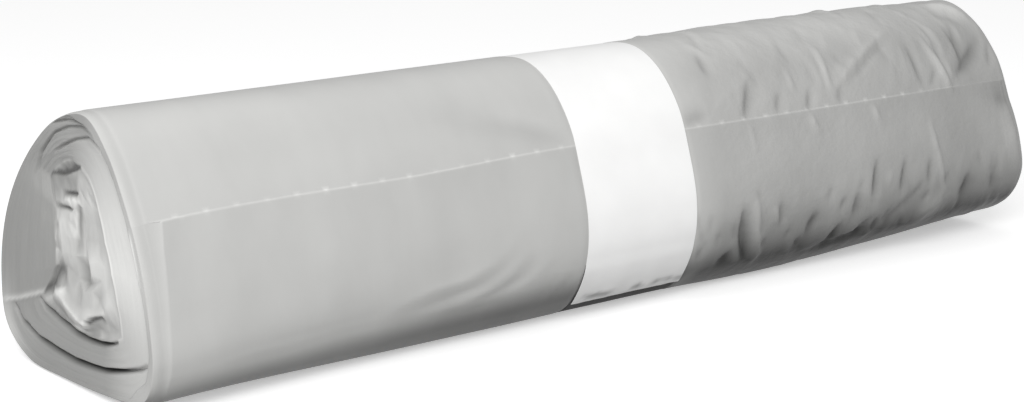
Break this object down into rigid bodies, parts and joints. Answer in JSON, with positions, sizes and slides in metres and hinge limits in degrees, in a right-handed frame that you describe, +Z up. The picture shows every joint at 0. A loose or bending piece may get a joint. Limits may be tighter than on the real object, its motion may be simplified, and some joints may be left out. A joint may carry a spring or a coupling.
{
  "type": "bin bag roll",
  "caption": "Coreless roll of thin translucent bin bags lying on its side, with dished spiral ends, a perforated free edge and a plain paper band round the middle.",
  "frame": {"origin": "middle of the roll's base, on the surface that it rests on", "axes": "+X along the roll, away from the end that shows its turns, +Z up, perforated edge on the -Y side"},
  "size_m": [0.35, 0.0974, 0.0809],
  "materials": {
    "film": "thin translucent polyethylene film with a satin sheen, wound many layers thick",
    "paper": "plain white uncoated paper"
  },
  "bodies": {
    "root": {"bag_roll": "film", "paper_band": "paper"}
  },
  "joints": []
}
